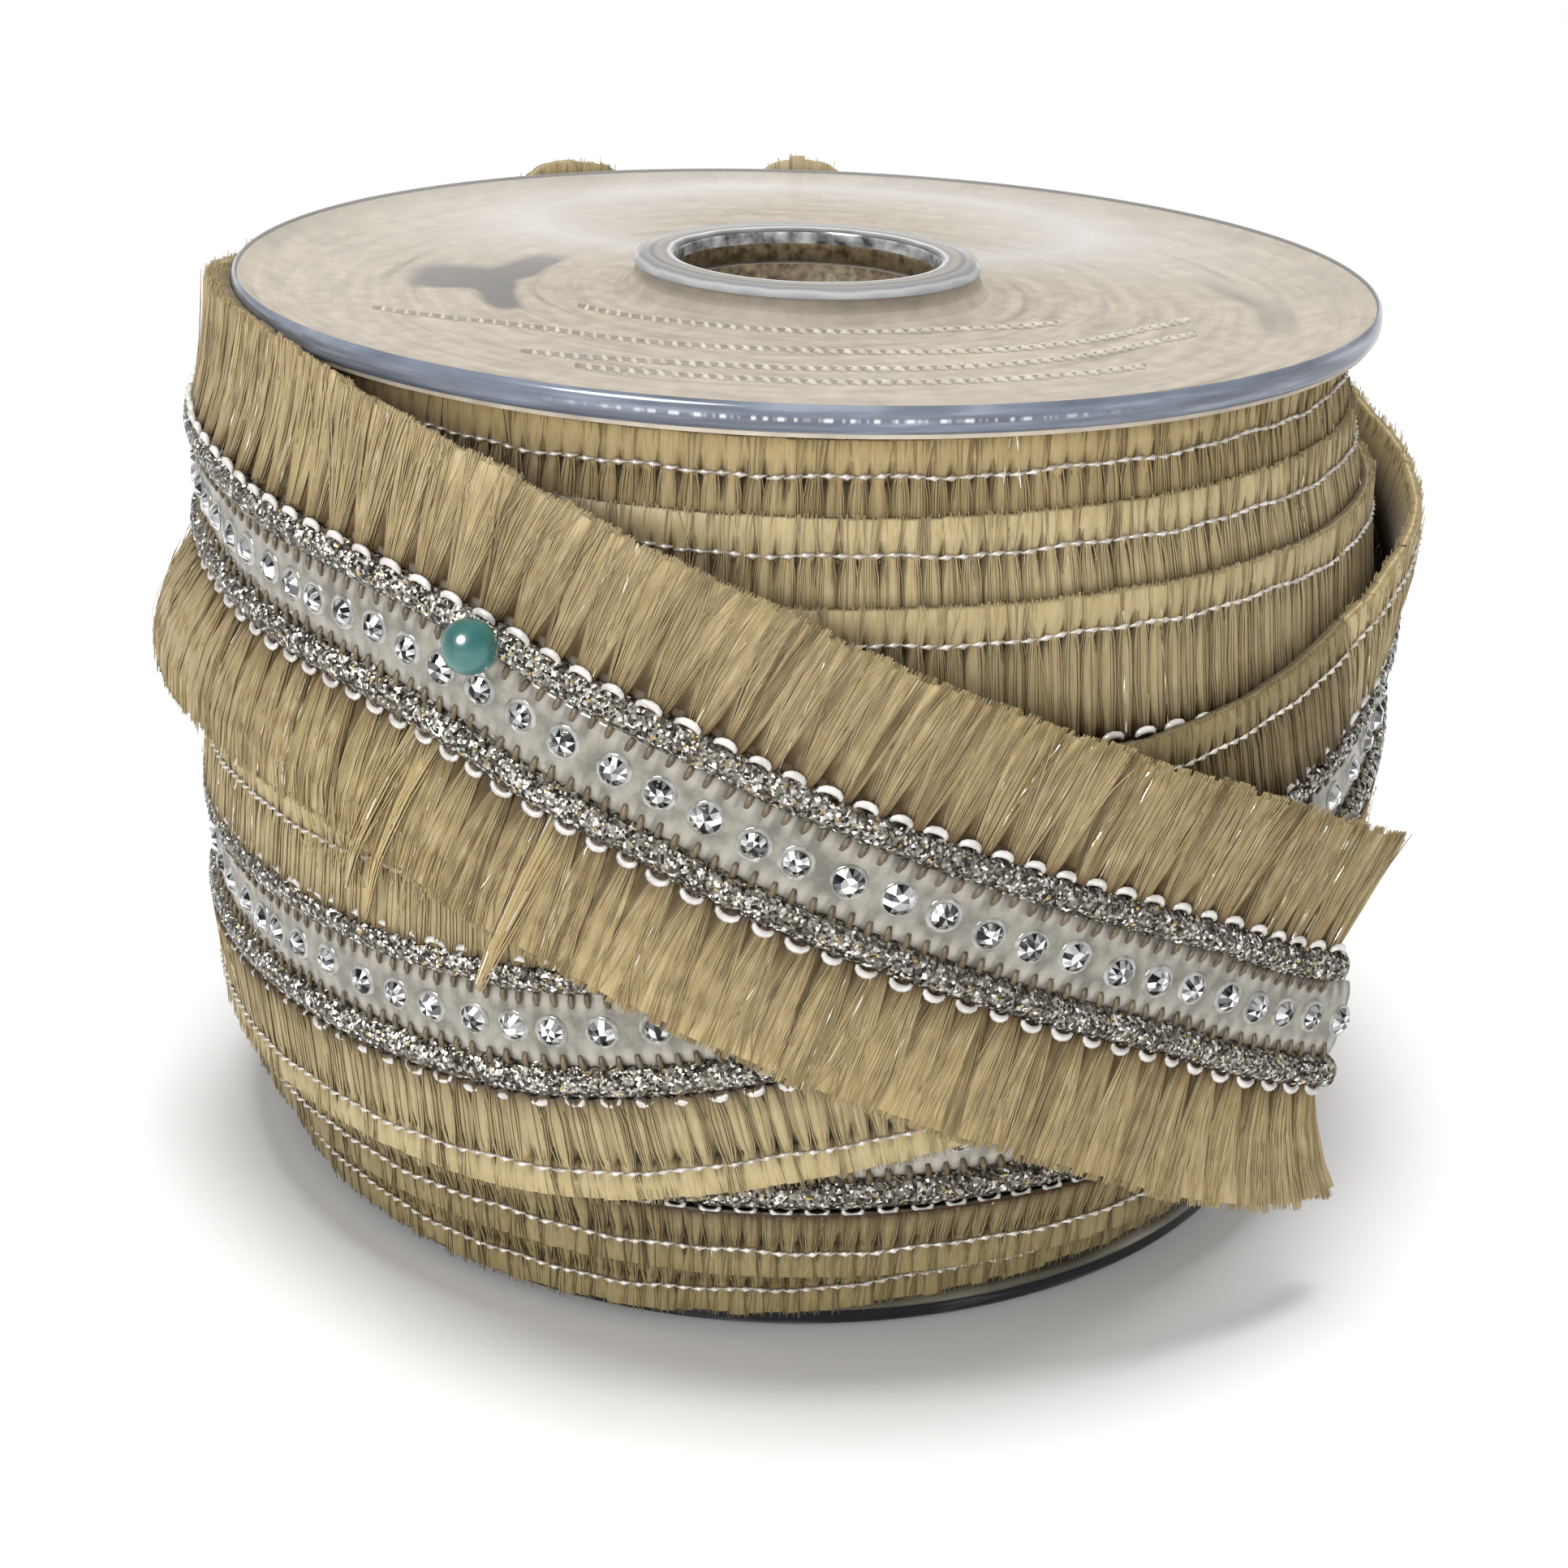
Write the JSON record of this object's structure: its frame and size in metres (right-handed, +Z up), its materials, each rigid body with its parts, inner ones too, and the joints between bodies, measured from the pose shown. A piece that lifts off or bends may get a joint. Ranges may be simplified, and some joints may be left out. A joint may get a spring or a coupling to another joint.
{
  "type": "roll of glitter fringe ribbon on a spool",
  "caption": "Wound roll of tan fringe ribbon with glitter cords and crystals on a clear flanged spool, its loose end pinned across the front.",
  "frame": {"origin": "on the table, in the middle of the footprint's box", "axes": "+Z up along the spool's axis, +X to the right seen from the front, the pinned loose end on the -Y side"},
  "size_m": [0.1138, 0.1132, 0.0798],
  "materials": {
    "clear_plastic": "clear, polished",
    "dark_clear_plastic": "smoky clear, polished",
    "tan_yarn": "silky yarn fringe",
    "glitter_cord": "metallic glitter knit",
    "crystal_strip": "translucent, set with cut stones",
    "teal_pearl": "pearl lacquer"
  },
  "bodies": {
    "root": {"spool_flange_top": "clear_plastic", "spool_flange_bottom": "dark_clear_plastic", "spool_hub": "clear_plastic", "ribbon_roll": "tan_yarn", "tail_crystal_strip": "crystal_strip", "tail_cord_upper": "glitter_cord", "tail_cord_lower": "glitter_cord", "tail_fringe_upper": "tan_yarn", "tail_fringe_lower": "tan_yarn", "wrap_fringe_right": "tan_yarn", "wrap_fringe_left": "tan_yarn", "pin_head": "teal_pearl"}
  },
  "joints": []
}
